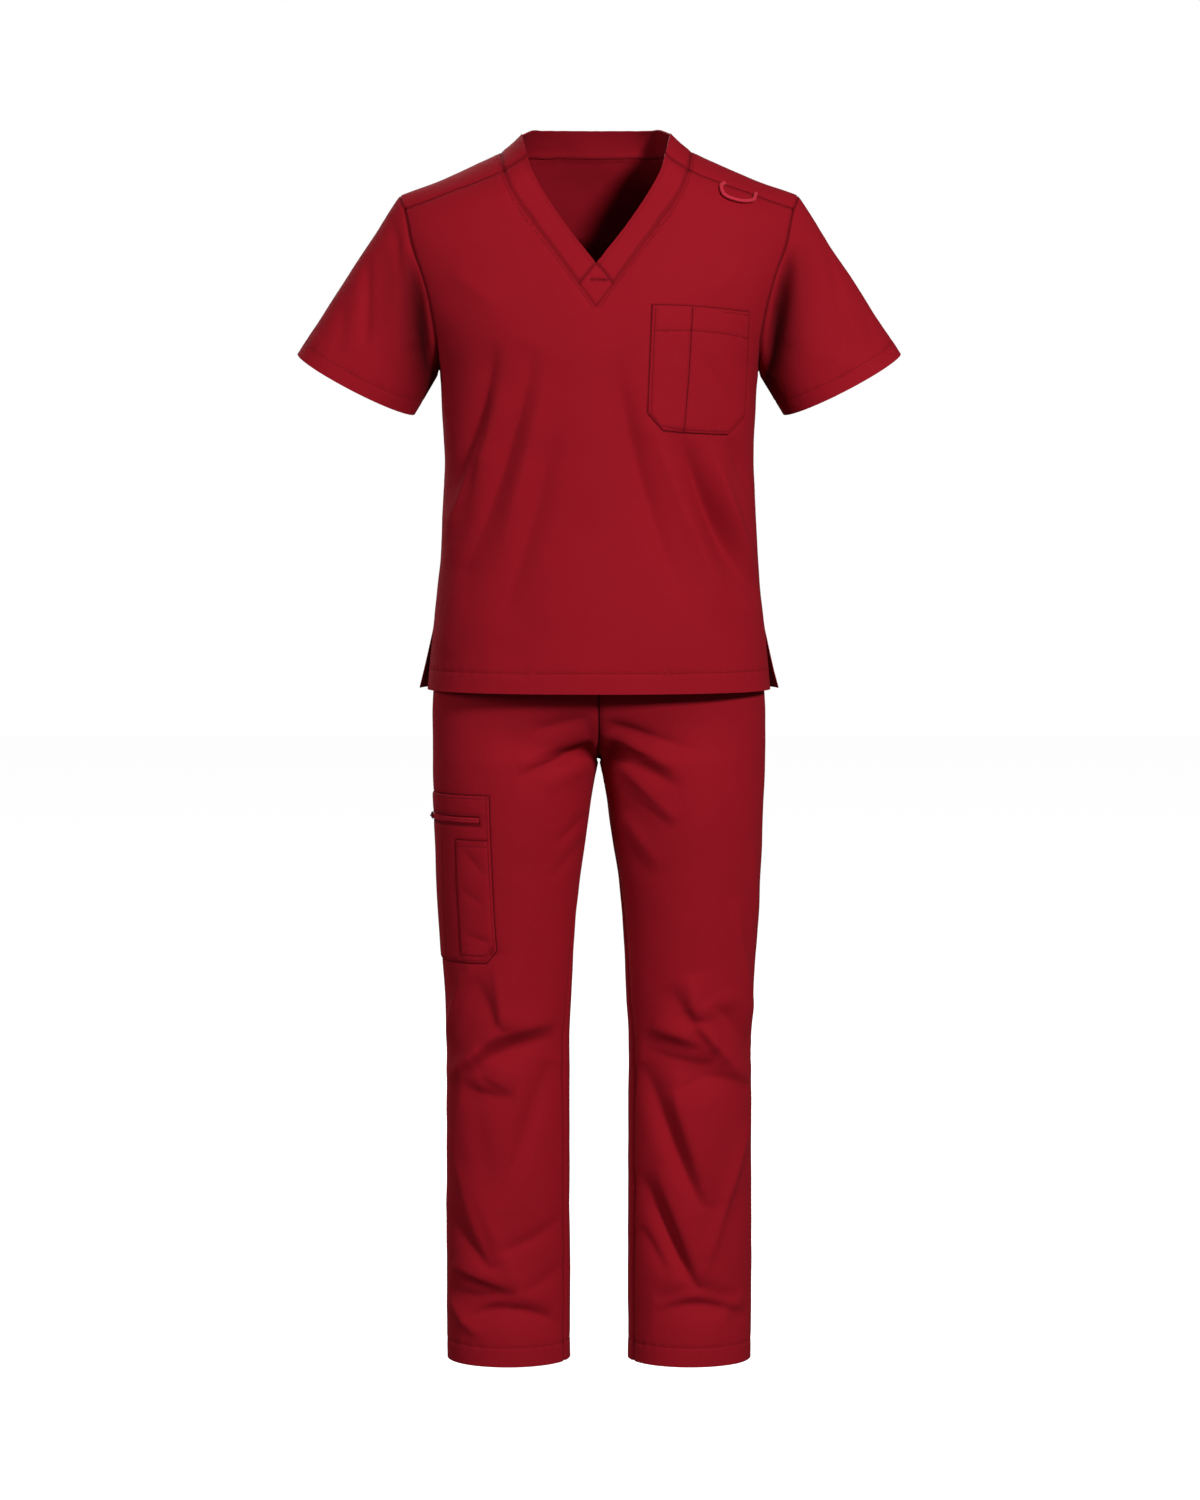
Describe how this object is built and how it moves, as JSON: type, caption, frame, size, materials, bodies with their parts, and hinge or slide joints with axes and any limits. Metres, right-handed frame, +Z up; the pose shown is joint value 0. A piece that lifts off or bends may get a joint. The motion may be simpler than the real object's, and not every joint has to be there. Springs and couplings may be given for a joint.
{
  "type": "medical scrubs set",
  "caption": "Short-sleeved V-neck scrub top with chest pocket and badge loop over straight scrub trousers with a zipped cargo pocket, filled out and empty.",
  "frame": {"origin": "midway between the shoulders at shoulder-line height, where the wearer's shoulders hold the top", "axes": "+Z up through the neck, -Y out of the chest, +X towards the wearer's left arm"},
  "size_m": [0.7668, 0.294, 1.5748],
  "materials": {
    "scrub_twill": "matt twill weave",
    "loop_cord": "smooth satin cord",
    "zip_coil": "dyed polyester coil",
    "zip_metal": "dark red enamel"
  },
  "bodies": {
    "garment": {"top_front": "scrub_twill", "top_back": "scrub_twill", "sleeve_left": "scrub_twill", "sleeve_right": "scrub_twill", "neckband_left": "scrub_twill", "neckband_right": "scrub_twill", "neckband_back": "scrub_twill", "neck_point": "scrub_twill", "chest_pocket": "scrub_twill", "badge_loop": "loop_cord", "trouser_front_left": "scrub_twill", "trouser_front_right": "scrub_twill", "trouser_back_left": "scrub_twill", "trouser_back_right": "scrub_twill", "waistband": "scrub_twill", "cargo_pocket": "scrub_twill", "cargo_pen_pocket": "scrub_twill", "zip_tape": "zip_coil", "zip_slider": "zip_metal"},
    "pull": {"zip_pull": "zip_metal"}
  },
  "joints": [
    {"name": "zip_pull_hinge", "type": "hinge", "parent": "garment", "child": "pull", "pos_m": [-0.21478, 0.00215, -0.80769], "axis": [-0.0435, 0.0008, 0.9991], "range_deg": [0, 160]}
  ]
}
